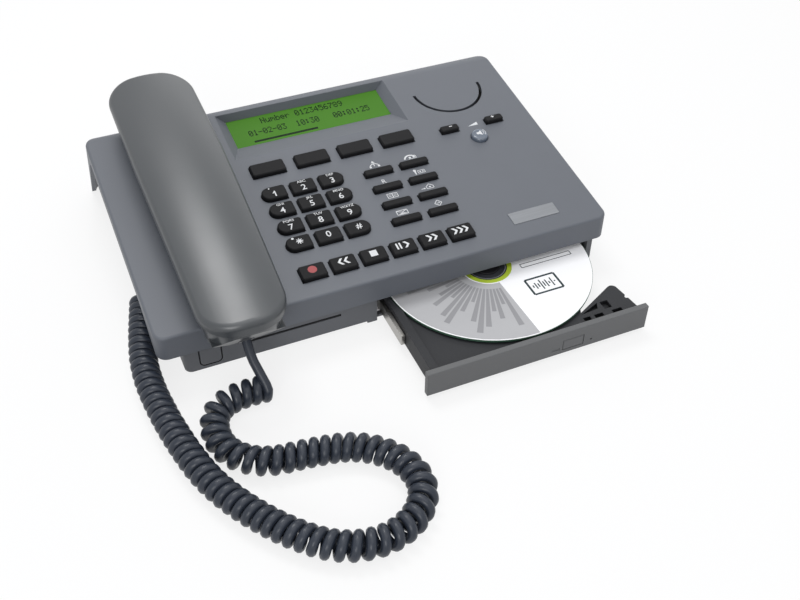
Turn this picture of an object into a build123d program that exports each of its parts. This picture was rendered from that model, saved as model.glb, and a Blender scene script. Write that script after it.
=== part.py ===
from build123d import *
import math
import os

# Desk telephone that records calls on an optical disc: sizes in millimetres.
# Origin: middle of the housing's footprint on the table, +X to the right, +Y to the back, +Z up.

# Top cover
cover_width = 263.2
housing_depth = 194.5
front_y = -housing_depth / 2
wall = 2.5
panel_front_z = 33.9
panel_angle = 7.33
skirt_bottom_z = 19.1
roof_depth = 163.0
roof_roll_radius = 13.0
front_corner_radius = 6.0
rear_corner_radius = 11.0
top_edge_radius = 1.6
side_skirt_height = 8.0
side_skirt_start = 34.0
side_skirt_nose = 9.0
leg_width = 9.8
cable_notch_width = 64.0
cable_notch_height = 20.0

# Base housing
base_left = -118.3
base_right = 126.2
base_front_y = front_y + 4.3
base_raise = 1.3
base_rear_wall_z = 32.0
rim_gap = 0.3
bay_step_x = -16.0
bay_left = -10.3
bay_right = 122.8
bay_top_z = 18.6
bay_floor = 1.6
base_corner_radius = 4.0
card_slot_left = -87.0
card_slot_right = -31.4
card_slot_z = 11.8
card_slot_height = 1.6
foot_radius = 6.0
foot_inset = 0.7
screw_radius = 1.5
screw_head_radius = 2.9
screw_head_height = 1.8
boss_radius = 3.5

# Port flap in the front wall
flap_x = -104.4
flap_width = 11.2
flap_bottom_z = 4.0
flap_top_z = 15.4
flap_thickness = 1.5
flap_gap = 0.35
flap_corner = 2.4
flap_pin_radius = 0.6
flap_pin_gap = 0.08
flap_pin_length = 1.0
flap_knuckle = 0.9

# Keys: places are left edge and front edge on the sloping panel
key_height = 2.6
key_gap = 0.3
key_travel = 1.5
key_corner = 0.9
key_top_bevel = 0.6
key_flange = 0.8
key_flange_thickness = 1.0
digit_width = 14.3
digit_depth = 9.8
digit_left = -49.4
digit_front = 33.2
digit_pitch_x = 17.3
digit_pitch_v = 13.8
transport_count = 6
transport_left = -49.4
transport_front = 11.1
transport_pitch = 17.46
soft_count = 4
soft_left = -49.0
soft_front = 95.6
soft_width = 20.2
soft_pitch = 26.98
function_rows = 4
function_left = 12.0
function_width = 17.5
function_depth = 4.8
function_pitch_x = 22.4
column_x = 91.2
volume_width = 11.6
volume_depth = 5.0
volume_front = 95.4
volume_spread = 30.0
speaker_key_radius = 5.15
speaker_key_v = 86.5

# Loudspeaker arc slot, badge and display
arc_radius = 22.1
arc_slot_width = 1.9
arc_v = 135.5
speaker_radius = 25.0
speaker_v = 131.0
speaker_depth = 13.0
speaker_rim = 3.0
speaker_magnet_radius = 14.0
speaker_magnet_height = 5.0
badge_width = 29.0
badge_depth = 8.8
badge_v = 16.2
badge_thickness = 0.5
badge_recess = 0.3
display_x = 1.6
display_width = 99.0
display_front = 129.5
display_depth = 25.2
display_sink = 5.0
display_thickness = 6.0
display_margin = 3.0
recess_left = -53.9
recess_right = 56.4
recess_front = 114.5
recess_rear = 156.6

# Main board under the keys
board_drop = 10.0
board_thickness = 1.6
board_left = -56.0
board_right = 120.0
board_front = 8.0
board_rear = 109.0
post_front_v = 27.0
post_rear_v = 90.0
post_middle_x = 7.0
post_radius = 2.0
chip_size = 22.0
chip_height = 2.0

# Cradle and hook plunger
handset_x = -88.8
ear_well_v = 133.0
ear_well_radius = 21.5
ear_well_depth = 5.0
plunger_v = 76.0
plunger_width = 7.0
plunger_length = 12.0
plunger_stroke = 4.0

# Handset: heights are above the sloping panel
handset_front = -27.1
handset_rear = 175.9
handset_front_half = 22.4
handset_rear_half = 24.8
handset_widest_v = 100.0
handset_front_radius = 19.0
handset_rear_radius = 17.0
rim_height = 19.0
crown_height = 31.5
crown_sag = 4.5
crown_cross_sag = 5.5
crown_edge_radius = 3.5
handset_wall = 2.4
grip_height = 3.6
lower_inset = 0.9
lower_taper = 10.0
seat_gap = 0.3
ear_cap_radius = 20.0
mouth_cap_rear = 40.0
mouth_cap_half = 17.0
capsule_radius = 15.0
capsule_height = 6.0
microphone_radius = 4.8
microphone_height = 4.0
microphone_v = 12.0
capsule_gap = 0.1
lip_top_half = 19.0
lip_bottom_half = 7.2
lip_top_z = panel_front_z + 7.0
lip_bottom_z = 24.6
lip_gap = 1.2

# Disc drive: places are measured at rest, with the tray half out
bezel_left = -9.5
bezel_width = 131.5
bezel_bottom_z = 2.75
bezel_top_z = 18.05
bezel_thickness = 3.5
bezel_bevel = 0.4
tray_open = 65.1
drive_wall = 0.8
frame_right = 121.6
frame_bottom_z = 3.2
frame_top_z = 17.8
frame_depth = 129.0
frame_setback = 0.4
deck_z = 13.4
tray_bottom_z = 5.2
tray_left = -5.9
tray_rim_width = 4.6
tray_rim_z = 16.4
tray_length = 128.0
tray_right = 120.4
tray_back_right = 100.0
tray_ear_x = 117.0
tray_ear_depth = 25.5
tray_ear_radius = 3.0
tray_notch_x = 88.5
tray_notch_depth = 10.8
tray_shoulder_depth = 37.0
tray_pocket_floor_z = 6.4
tray_relief_depth = 2.5
tray_relief_notch = 1.3
tray_reliefs = [
    (102.2, 106.8, 8.5, 14.3),
    (105.0, 111.0, 1.7, 6.3),
    (94.0, 99.4, 3.0, 6.7),
    (87.2, 91.5, 2.9, 6.7),
]
tray_web = [(88.0, 9.3), (100.6, 14.4), (98.7, 10.3)]
rail_width = 2.0
rail_gap = 0.3
rail_bottom_z = 5.6
rail_height = 7.0
rail_length = 108.0
rail_from_bezel = 32.8
rail_nose = 0.6
disc_radius = 60.0
disc_hole_radius = 7.5
disc_thickness = 1.2
disc_bottom_z = 14.4
disc_x = 57.4
disc_from_bezel = 66.9
disc_recess_gap = 1.0
hub_radius = 7.2
hub_flange_radius = 14.0
hub_top_z = 16.2
hub_flange_thickness = 0.7
hub_shaft_radius = 1.5
hub_shaft_length = 5.0
motor_radius = 10.5
motor_gap = 0.1
run_gap = 0.3
sled_width = 15.0
sled_length = 14.0
sled_from_spindle = 31.4
lens_radius = 2.2
sled_travel = 9.0
eject_x = 75.9
eject_z = 8.9
eject_width = 12.4
eject_height = 6.4
eject_gap = 0.3
eject_proud = 0.2
eject_thickness = 2.4
lamp_x = 65.3
lamp_z = 7.2
lamp_width = 5.0
lamp_height = 1.8
lamp_recess = 0.3
pinhole_x = 87.1
pinhole_z = 7.1
pinhole_radius = 0.6

# Curly cord: its plugs, the lead out of the handset and the route of its curls on the table
wire = 4.2
wire_sides = 4
curl_outer = 14.4
curl_gap = 1.2
lead_tilt = 42.0
plug_width = 7.6
plug_height = 6.6
plug_length = 9.0
plug_gap = 0.1
plug_proud = 0.4
plug_end_gap = 0.5
plug_y = front_y + 61.4
plug_z = base_raise + wall + plug_gap + plug_height / 2
jack = Vector(handset_x + 0.6, front_y - 11.6, 28.6)
end_turn_angle = 125.0
cord_route = [
    (-84.0, -27.4), (-97.5, -25.9), (-112.0, -31.0), (-117.5, -45.5), (-114.5, -61.5), (-100.0, -73.5),
    (-78.0, -75.5), (-55.5, -80.0), (-39.0, -95.5), (-35.0, -114.5), (-45.5, -130.0), (-64.0, -136.5),
    (-84.0, -132.0), (-100.5, -117.5), (-116.0, -96.5), (-127.5, -73.5), (-133.5, -48.0), (-137.5, -20.0),
    (-139.0, 8.0), (-137.0, 34.0), (-133.6, 62.0),
]

# Rear sockets
socket_z = 13.0
socket_height = 13.0
socket_left = -cable_notch_width / 2 + 6.0
socket_right = 6.0
socket_depth = 12.5
line_cavity_width = 9.8
line_cavity_height = 6.9
line_cavity_depth = 10.0
line_from_edge = 9.0
inlet_radius = 3.1
inlet_depth = 9.0
inlet_pin_radius = 1.0
inlet_from_edge = 8.0

# Places that follow from the sizes above
bezel_front_y = base_front_y - tray_open
tray_front_y = bezel_front_y + bezel_thickness
frame_front_y = base_front_y + bezel_thickness + frame_setback
frame_rear_y = frame_front_y + frame_depth
base_rear_y = frame_rear_y + run_gap + socket_depth
frame_left = tray_left - 2 * rail_gap - rail_width - drive_wall
disc_y = bezel_front_y + disc_from_bezel
lead_dir = Vector(0, -math.cos(math.radians(lead_tilt)), -math.sin(math.radians(lead_tilt)))
curl_radius = (curl_outer - wire) / 2
curl_z = curl_outer / 2
flap_pin_y = base_front_y + flap_knuckle + 0.05
flap_pin_z = flap_top_z - flap_knuckle
tan_panel = math.tan(math.radians(panel_angle))
cos_panel = math.cos(math.radians(panel_angle))
panel = Plane(
    origin=(0, front_y, panel_front_z),
    x_dir=(1, 0, 0),
    z_dir=(0, -math.sin(math.radians(panel_angle)), cos_panel),
)


def roof_z(y):
    """Height of the sloping panel above the table at a place y."""
    return panel_front_z + tan_panel * (y - front_y)


def on_panel(shape, x, v, h=0.0):
    """Puts a shape at x across, v up the slope and h above the panel."""
    return panel.location * Pos(x, v, h) * shape


def panel_block(x0, x1, v0, v1, h0, h1):
    """A block with its corners given along the sloping panel."""
    block = Box(x1 - x0, v1 - v0, h1 - h0)
    return on_panel(block, (x0 + x1) / 2, (v0 + v1) / 2, (h0 + h1) / 2)


def block(x0, x1, y0, y1, z0, z1):
    """A block with its corners given along the axes."""
    return Pos((x0 + x1) / 2, (y0 + y1) / 2, (z0 + z1) / 2) * Box(x1 - x0, y1 - y0, z1 - z0)


def rod(x, y, z0, z1, radius):
    """An upright cylinder."""
    return Pos(x, y, (z0 + z1) / 2) * Cylinder(radius, z1 - z0)


def panel_rod(x, v, h0, h1, radius):
    """A cylinder that stands square to the sloping panel."""
    return on_panel(Cylinder(radius, h1 - h0), x, v, (h0 + h1) / 2)


def side_shape(points, x0, x1):
    """Extrudes an outline of (y, z) points from x0 to x1."""
    outline = make_face(Plane.YZ * Polyline(*points, close=True))
    return Pos(x0, 0, 0) * extrude(outline, x1 - x0, dir=(1, 0, 0))


# Housing
def cover_body(inset):
    """The cover's outer form, or with an inset the space inside it."""
    foot_y = front_y + housing_depth
    roof_rear_y = front_y + roof_depth
    front = front_y + inset
    drop = inset / cos_panel
    bottom = -4 * wall
    slope = (foot_y - roof_rear_y) / roof_z(roof_rear_y)
    lean = inset * math.hypot(1, slope)
    corner_y = (foot_y - lean - slope * (panel_front_z - tan_panel * front_y - drop)) / (1 + slope * tan_panel)
    corner_z = roof_z(corner_y) - drop
    points = [
        (front, bottom),
        (front, roof_z(front) - drop),
        (corner_y, corner_z),
        (foot_y - lean - slope * bottom, bottom),
    ]
    outline = make_face(Plane.YZ * Polyline(*points, close=True))
    rear_top = outline.vertices().sort_by(Axis.Z)[-1]
    outline = fillet(rear_top, roof_roll_radius - inset)
    half = cover_width / 2 - inset
    body = Pos(-half, 0, 0) * extrude(outline, 2 * half, dir=(1, 0, 0))
    tall = roof_z(foot_y) * 2
    length = 2 * housing_depth
    front_plan = Pos(0, front + length / 2) * Rectangle(2 * half, length)
    front_plan = fillet(front_plan.vertices().group_by(Axis.Y)[0], front_corner_radius - inset)
    rear_plan = Pos(0, foot_y - lean - length / 2) * Rectangle(2 * half, length)
    rear_plan = fillet(rear_plan.vertices().group_by(Axis.Y)[-1], rear_corner_radius - inset)
    body &= Pos(0, 0, bottom) * extrude(front_plan, tall)
    rear_prism = extrude(rear_plan, tall, dir=(0, -slope, 1)) + extrude(rear_plan, -bottom, dir=(0, slope, -1))
    return body & rear_prism


def side_opening():
    """What is cut away below the side skirts, in front of the rear legs."""
    foot_y = front_y + housing_depth
    low = -1.0
    start = front_y + side_skirt_start
    top_end = front_y + roof_depth - roof_roll_radius
    points = [
        (front_y - 1, low),
        (front_y - 1, skirt_bottom_z),
        (front_y + side_skirt_nose, skirt_bottom_z),
        (start, roof_z(start) - side_skirt_height),
        (top_end, roof_z(top_end) - side_skirt_height),
        (foot_y - leg_width, 0),
        (foot_y - leg_width, low),
    ]
    outline = make_face(Plane.YZ * Polyline(*points, close=True))
    bend = outline.vertices().sort_by(Axis.Z)[-1]
    outline = fillet(bend, roof_roll_radius - wall)
    return Pos(-cover_width, 0, 0) * extrude(outline, 2 * cover_width, dir=(1, 0, 0))


def boss_places():
    """Where the five housing screws rise into the cover."""
    front_row = base_front_y + 14.0
    rear_row = base_rear_y - wall - boss_radius - 1.0
    left = base_left + 13.0
    right = base_right - wall - boss_radius - 1.0
    board_side = board_left - boss_radius - 2.5
    display_side = display_x - display_width / 3
    display_row = front_y + board_rear + boss_radius + 5.0
    left_places = [(left, front_row), (left, rear_row)]
    return left_places + [(board_side, front_row), (display_side, display_row), (right, rear_row)]


def board_posts():
    """Where the cover's short posts hold the main board."""
    columns = (board_left + post_radius + 1.0, post_middle_x, board_right - post_radius - 1.0)
    return [(x, v) for x in columns for v in (post_front_v, post_rear_v)]


# Keys
def key_list():
    """Name, left edge, front edge, width, depth and rounded end of each key."""
    keys = []
    names = [["star", "0", "hash"], ["7", "8", "9"], ["4", "5", "6"], ["1", "2", "3"]]
    ends = ["left", "", "right"]
    for row, row_names in enumerate(names):
        for column, name in enumerate(row_names):
            x = digit_left + column * digit_pitch_x
            v = digit_front + row * digit_pitch_v
            keys.append(("key_" + name, x, v, digit_width, digit_depth, ends[column]))
    transport = ["record", "back", "stop", "play", "forward", "skip"]
    for number, name in enumerate(transport[:transport_count]):
        x = transport_left + number * transport_pitch
        keys.append(("key_" + name, x, transport_front, digit_width, digit_depth, ""))
    for number in range(soft_count):
        x = soft_left + number * soft_pitch
        keys.append((f"soft_key_{number + 1}", x, soft_front, soft_width, digit_depth, ""))
    for row in range(function_rows):
        for column in range(2):
            x = function_left + column * function_pitch_x
            v = digit_front + row * digit_pitch_v
            name = f"function_key_{2 * row + column + 1}"
            keys.append((name, x, v, function_width, function_depth, ""))
    for name, side in (("volume_down_key", -1), ("volume_up_key", 1)):
        x = column_x + side * volume_spread / 2 - volume_width / 2
        keys.append((name, x, volume_front, volume_width, volume_depth, ""))
    return keys


def key_outline(width, depth, end, grow=0.0, corner=0.0):
    """A key's plan: cut corners, or a round end on the outer side."""
    shape = Rectangle(width + 2 * grow, depth + 2 * grow)
    radius = depth / 2 + grow - 0.05
    if end:
        side = shape.vertices().group_by(Axis.X)[0 if end == "left" else -1]
        shape = fillet(side, radius)
        square = shape.vertices().group_by(Axis.X)[-1 if end == "left" else 0]
    else:
        square = shape.vertices()
    if corner > 0:
        shape = chamfer(square, corner)
    return shape


def key_cap(x, v, width, depth, end):
    """A key: cap with bevelled top, skirt through the cover, flange and stem."""
    under = -(wall + key_gap)
    flange_bottom = under - key_flange_thickness
    cap = extrude(key_outline(width, depth, end, corner=key_corner), key_height - under)
    cap = chamfer(cap.faces().sort_by(Axis.Z)[-1].edges(), key_top_bevel)
    flange = Rectangle(width + 2 * key_flange, depth + 2 * key_flange)
    flange = Pos(0, 0, flange_bottom - under) * extrude(flange, key_flange_thickness)
    stem_bottom = -board_drop + key_travel + key_gap
    stem = Pos(0, 0, stem_bottom - under) * extrude(Rectangle(3, 3), flange_bottom - stem_bottom)
    return on_panel(cap + flange + stem, x + width / 2, v + depth / 2, under)


def key_hole(x, v, width, depth, end):
    """The opening in the cover that a key passes through."""
    hole = extrude(key_outline(width, depth, end, grow=key_gap), 3 * wall)
    return on_panel(hole, x + width / 2, v + depth / 2, -2 * wall)


def speaker_key():
    """The round translucent key, with its dome, skirt, flange and stem."""
    under = -(wall + key_gap)
    flange_bottom = under - key_flange_thickness
    cap = Pos(0, 0, under) * extrude(Circle(speaker_key_radius), key_height - under)
    cap = fillet(cap.faces().sort_by(Axis.Z)[-1].edges(), key_height * 0.55)
    flange = Pos(0, 0, flange_bottom) * extrude(Circle(speaker_key_radius + key_flange), key_flange_thickness)
    stem_bottom = -board_drop + key_travel + key_gap
    stem = Pos(0, 0, stem_bottom) * extrude(Rectangle(3, 3), flange_bottom - stem_bottom)
    return on_panel(cap + flange + stem, column_x, speaker_key_v)


def make_cover():
    """Top cover: sloping panel, skirts, rolled rear edge, rear wall and legs."""
    cover = cover_body(0.0)
    front_edges = cover.edges().filter_by(GeomType.LINE).filter_by(Axis.X)
    top_front = front_edges.group_by(Axis.Y)[0].sort_by(Axis.Z)[-1]
    cover = fillet(top_front, top_edge_radius)
    cover -= cover_body(wall)
    cover -= side_opening()
    cover &= block(-cover_width, cover_width, -housing_depth, housing_depth, 0, 2 * housing_depth)
    notch_y = front_y + housing_depth
    cover -= block(-cable_notch_width / 2, cable_notch_width / 2, base_rear_y, notch_y + 1, -1, cable_notch_height)

    frame_front = recess_front - wall
    for x, y in boss_places():
        cover += rod(x, y, base_raise + wall, roof_z(y) - 1.6, boss_radius)
    for x, v in board_posts():
        cover += panel_rod(x, v, -board_drop, -wall / 2, post_radius)
    cover += panel_block(recess_left - wall, recess_right + wall, frame_front, recess_rear + wall,
                         -display_sink, -wall / 2)
    top = Pos((recess_left + recess_right) / 2, (recess_front + recess_rear) / 2, 0.01)
    top_sketch = top * Rectangle(recess_right - recess_left, recess_rear - recess_front)
    low = Pos(display_x, display_front + display_depth / 2, -display_sink - 0.01)
    low_sketch = low * Rectangle(display_width, display_depth)
    cover -= panel.location * loft([low_sketch, top_sketch], ruled=True)

    cover += panel_rod(handset_x, ear_well_v, -ear_well_depth - wall, -wall / 2, ear_well_radius + wall)
    cover -= panel_rod(handset_x, ear_well_v, -ear_well_depth, wall, ear_well_radius)
    for x, y in boss_places():
        cover -= rod(x, y, 0, roof_z(y) - 3 * wall, screw_radius)
    for name, x, v, width, depth, end in key_list():
        cover -= key_hole(x, v, width, depth, end)
    cover -= panel_rod(column_x, speaker_key_v, -2 * wall, wall, speaker_key_radius + key_gap)
    outer = arc_radius + arc_slot_width / 2
    inner = arc_radius - arc_slot_width / 2
    ring = Circle(outer) - Circle(inner) - Pos(0, outer) * Rectangle(3 * outer, 2 * outer)
    cover -= on_panel(extrude(ring, 3 * wall), column_x, arc_v, -2 * wall)
    cover -= panel_block(
        column_x - badge_width / 2 - 0.1, column_x + badge_width / 2 + 0.1,
        badge_v - badge_depth / 2 - 0.1, badge_v + badge_depth / 2 + 0.1, -badge_recess, wall,
    )
    cover -= panel_block(
        handset_x - plunger_width / 2 - key_gap, handset_x + plunger_width / 2 + key_gap,
        plunger_v - plunger_length / 2 - key_gap, plunger_v + plunger_length / 2 + key_gap, -2 * wall, wall,
    )
    return cover


def base_profile(y0, y1, z0, lower):
    """Side outline of the base: flat below, its rim close under the panel."""
    top0 = roof_z(y0) - wall / cos_panel - lower
    top1 = roof_z(y1) - wall / cos_panel - lower
    return [(y0, z0), (y0, top0), (y1, top1), (y1, z0)]


def flap_outline(grow):
    """The port flap's front outline, with two round lower corners."""
    width = flap_width + 2 * grow
    height = flap_top_z - flap_bottom_z + 2 * grow
    shape = Rectangle(width, height)
    return fillet(shape.vertices().group_by(Axis.Y)[0], flap_corner + grow)


def flap_solid(grow, y0, y1):
    """The flap's outline pushed through from y0 to y1."""
    middle = (flap_bottom_z + flap_top_z) / 2
    plane = Plane(origin=(flap_x, y1, middle), x_dir=(1, 0, 0), z_dir=(0, -1, 0))
    return extrude(plane * flap_outline(grow), y1 - y0)


def flap_pins(radius, reach):
    """Two pins in line on the flap's top edge."""
    length = flap_width + 2 * reach
    return Pos(flap_x, flap_pin_y, flap_pin_z) * Rot(0, 90, 0) * Cylinder(radius, length)


def make_base():
    """Base housing: open tray with bays for the board, the drive and the plugs."""
    base = side_shape(base_profile(base_front_y, base_rear_y, base_raise, rim_gap), base_left, base_right)
    corner = base.edges().filter_by(Axis.Z).sort_by(Axis.X)[:2]
    base = fillet(corner, base_corner_radius)
    inner_front = base_front_y + wall
    inner_rear = base_rear_y - wall
    inner = side_shape(
        base_profile(inner_front, inner_rear, base_raise + wall, -2 * wall), base_left + wall, base_right - wall
    )
    base -= inner
    base -= block(base_left - 1, base_right + 1, inner_rear - 1, base_rear_y + 1,
                  base_rear_wall_z, 2 * base_rear_wall_z)
    bay_rear = frame_rear_y
    base -= block(bay_left, bay_right, base_front_y - 1, bay_rear, -1, bay_top_z)
    base += block(bay_step_x, base_right, base_front_y + wall, base_rear_y, 0, bay_floor)
    base += block(bay_step_x, bay_left, base_front_y, base_rear_y, 0, base_raise + wall)
    base += block(bay_left - wall, bay_left, inner_front - 1, bay_rear, 0, bay_top_z)
    for x in (frame_left + 20.0, frame_right - 20.0):
        base += block(x - 2, x + 2, frame_front_y, bay_rear, bay_floor / 2, frame_bottom_z)
    base -= block(card_slot_left, card_slot_right, base_front_y - 1, inner_front + 1,
                  card_slot_z - card_slot_height / 2, card_slot_z + card_slot_height / 2)
    base -= flap_solid(flap_gap, base_front_y - 1, inner_front + 1)
    base -= flap_pins(flap_pin_radius + flap_pin_gap, flap_gap + flap_pin_length)
    for x, y in boss_places():
        bottom = base_raise if x < bay_step_x else 0
        top = base_raise + wall
        base += rod(x, y, bottom, top, boss_radius + 1)
        base -= rod(x, y, bottom - 1, top + 1, screw_radius + 0.2)
        base -= rod(x, y, bottom - 1, bottom + screw_head_height + 0.2, screw_head_radius + 0.2)
    for x, y in foot_places():
        base -= rod(x, y, -1, base_raise + foot_inset, foot_radius)
    cavity_end = base_left + plug_length - plug_proud + plug_end_gap
    y0 = plug_y - plug_width / 2 - plug_gap
    y1 = plug_y + plug_width / 2 + plug_gap
    z0 = base_raise + wall
    z1 = z0 + plug_height + 2 * plug_gap
    base += block(base_left + wall / 2, cavity_end + 1.5, y0 - 1.5, y1 + 1.5, z0 - wall / 2, z1 + 1.5)
    base -= block(base_left - 1, cavity_end, y0, y1, z0, z1)
    base -= block(socket_left, socket_right, inner_rear - 1, base_rear_y + 1, socket_z - socket_height / 2,
                  socket_z + socket_height / 2)
    well_bottom = -ear_well_depth - wall - rim_gap
    base -= panel_rod(handset_x, ear_well_v, well_bottom, wall, ear_well_radius + wall + rim_gap)
    return base


def foot_places():
    """Two rubber feet under the raised left part of the base."""
    x = base_left + 20.0
    return [(x, base_front_y + 34.0), (x, base_rear_y - 34.0)]


def make_screws():
    """Five countersunk screws that join the base to the cover."""
    screws = []
    for x, y in boss_places():
        bottom = base_raise if x < bay_step_x else 0
        head = rod(x, y, bottom + 0.2, bottom + screw_head_height + 0.2, screw_head_radius)
        head -= block(x - 2, x + 2, y - 0.35, y + 0.35, bottom, bottom + 1)
        shank = rod(x, y, bottom + screw_head_height, bottom + 16.0, screw_radius - 0.01)
        screws.append(head + shank)
    return Compound(children=screws)


def make_feet():
    """The two feet, each a short rubber cylinder set into the base."""
    feet = [rod(x, y, 0, base_raise + foot_inset, foot_radius) for x, y in foot_places()]
    return Compound(children=feet)


def make_flap():
    """Port flap: a small rubber-edged door that swings up on two pins."""
    flap = flap_solid(0, base_front_y, base_front_y + flap_thickness)
    flap -= block(flap_x - flap_width, flap_x + flap_width, base_front_y - 1, base_front_y + 2 * flap_thickness,
                  flap_pin_z, flap_top_z + 1)
    knuckle = Pos(flap_x, flap_pin_y, flap_pin_z) * Rot(0, 90, 0) * Cylinder(flap_knuckle, flap_width)
    return flap + knuckle + flap_pins(flap_pin_radius, flap_gap + flap_pin_length - 0.3)


def make_sockets():
    """Line socket and round power inlet on one strip in the base's rear wall."""
    low = socket_z - socket_height / 2
    strip = block(socket_left, socket_right, base_rear_y - socket_depth, base_rear_y, low, low + socket_height)
    line_x = socket_left + line_from_edge
    strip -= block(line_x - line_cavity_width / 2, line_x + line_cavity_width / 2, base_rear_y - line_cavity_depth,
                   base_rear_y + 1, socket_z - line_cavity_height / 2, socket_z + line_cavity_height / 2)
    inlet_x = socket_right - inlet_from_edge
    axis = Pos(inlet_x, base_rear_y - inlet_depth / 2, socket_z) * Rot(90, 0, 0)
    strip -= axis * Cylinder(inlet_radius, inlet_depth)
    return strip + axis * Pos(0, 0, 0.5) * Cylinder(inlet_pin_radius, inlet_depth)


def make_board():
    """Main board on the cover's posts, with its two large chips below."""
    board = panel_block(board_left, board_right, board_front, board_rear, -board_drop - board_thickness, -board_drop)
    for x in (board_left + 30.0, board_left + 62.0):
        v = board_front + 60.0
        low = -board_drop - board_thickness - chip_height
        board += panel_block(x - chip_size / 2, x + chip_size / 2, v - chip_size / 2, v + chip_size / 2,
                             low, -board_drop - board_thickness)
    return board


def make_loudspeaker():
    """Loudspeaker under the arc slot: basket, cone space and magnet."""
    top = -wall
    cone_radius = speaker_radius - speaker_rim
    basket = extrude(Circle(speaker_radius), -speaker_rim)
    cone = Pos(0, 0, -speaker_rim) * extrude(Circle(cone_radius), -2 * speaker_rim, taper=35)
    magnet_top = speaker_depth - speaker_magnet_height
    magnet = Pos(0, 0, -magnet_top) * extrude(Circle(speaker_magnet_radius), -speaker_magnet_height)
    dish = extrude(Circle(cone_radius), -0.8 * speaker_rim)
    return on_panel(basket - dish + cone + magnet, column_x, speaker_v, top)


def make_display():
    """Liquid crystal module, pressed up against its frame in the cover."""
    half = display_width / 2 + display_margin
    return panel_block(display_x - half, display_x + half, display_front - display_margin,
                       display_front + display_depth + display_margin / 2,
                       -display_sink - display_thickness, -display_sink)


def make_badge():
    """Bare metal plate let into the panel."""
    return panel_block(column_x - badge_width / 2, column_x + badge_width / 2, badge_v - badge_depth / 2,
                       badge_v + badge_depth / 2, -badge_recess, badge_thickness - badge_recess)


def make_plunger():
    """Hook plunger, held down by the handset at rest."""
    top = grip_height - seat_gap
    flange_top = -wall - key_gap - plunger_stroke
    post = panel_block(handset_x - plunger_width / 2, handset_x + plunger_width / 2, plunger_v - plunger_length / 2,
                       plunger_v + plunger_length / 2, flange_top - 1.5, top)
    post = chamfer(post.faces().sort_by(Axis.Z)[-1].edges(), 0.8)
    flange = panel_block(handset_x - plunger_width / 2 - 1, handset_x + plunger_width / 2 + 1,
                         plunger_v - plunger_length / 2 - 1, plunger_v + plunger_length / 2 + 1,
                         flange_top - 1.5, flange_top)
    return post + flange


# Handset
def handset_plan(inset):
    """The handset's outline seen from above, with its two round ends."""
    front = handset_front + inset
    rear = handset_rear - inset
    narrow = handset_front_half - inset
    broad = handset_rear_half - inset
    points = [(-narrow, front), (narrow, front), (broad, handset_widest_v), (broad, rear), (-broad, rear),
              (-broad, handset_widest_v)]
    plan = make_face(Polyline(*points, close=True))
    plan = fillet(plan.vertices().group_by(Axis.Y)[0], handset_front_radius - inset)
    return fillet(plan.vertices().group_by(Axis.Y)[-1], handset_rear_radius - inset)


def crown_form(inset):
    """The space under the handset's crown, which is curved along its length and across."""
    half = (handset_rear - handset_front) / 2
    middle = (handset_rear + handset_front) / 2
    radius = (half * half + crown_sag * crown_sag) / (2 * crown_sag)
    across = (handset_rear_half ** 2 + crown_cross_sag ** 2) / (2 * crown_cross_sag)
    top = crown_height - rim_height
    reach = across * 0.8
    drop = across - math.sqrt(across ** 2 - reach ** 2)
    edge = ThreePointArc((-reach, top - drop), (0, top), (reach, top - drop))
    sides = Polyline((reach, top - drop), (reach, -drop), (-reach, -drop), (-reach, top - drop))
    section = make_face(Plane(origin=(0, middle, -inset), x_dir=(1, 0, 0), z_dir=(0, -1, 0)) * (edge + sides))
    spread = 1.3 * math.degrees(math.asin(half / radius))
    axis = Axis((0, middle, top - radius - inset), (1, 0, 0))
    return revolve(section, axis=axis, revolution_arc=spread) + revolve(section, axis=axis, revolution_arc=-spread)


def make_upper_shell():
    """Handset upper shell: crowned along its length and across, rolled over at its edge."""
    shell = extrude(handset_plan(0.0), crown_height - rim_height + 2) & crown_form(0)
    top_face = shell.faces().sort_by(Axis.Z)[-1]
    shell = fillet(top_face.edges(), crown_edge_radius)
    hollow = extrude(handset_plan(handset_wall + 1.5), crown_height - rim_height) & crown_form(handset_wall)
    return on_panel(shell - hollow, handset_x, 0, rim_height)


def beyond_chin(inset):
    """Everything in front of the handset's sloping chin, or of its inner face."""
    plane = Plane(origin=jack - lead_dir * (plug_proud + inset), x_dir=(1, 0, 0), z_dir=lead_dir)
    return plane.location * Box(200, 200, 100, align=(Align.CENTER, Align.CENTER, Align.MIN))


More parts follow.
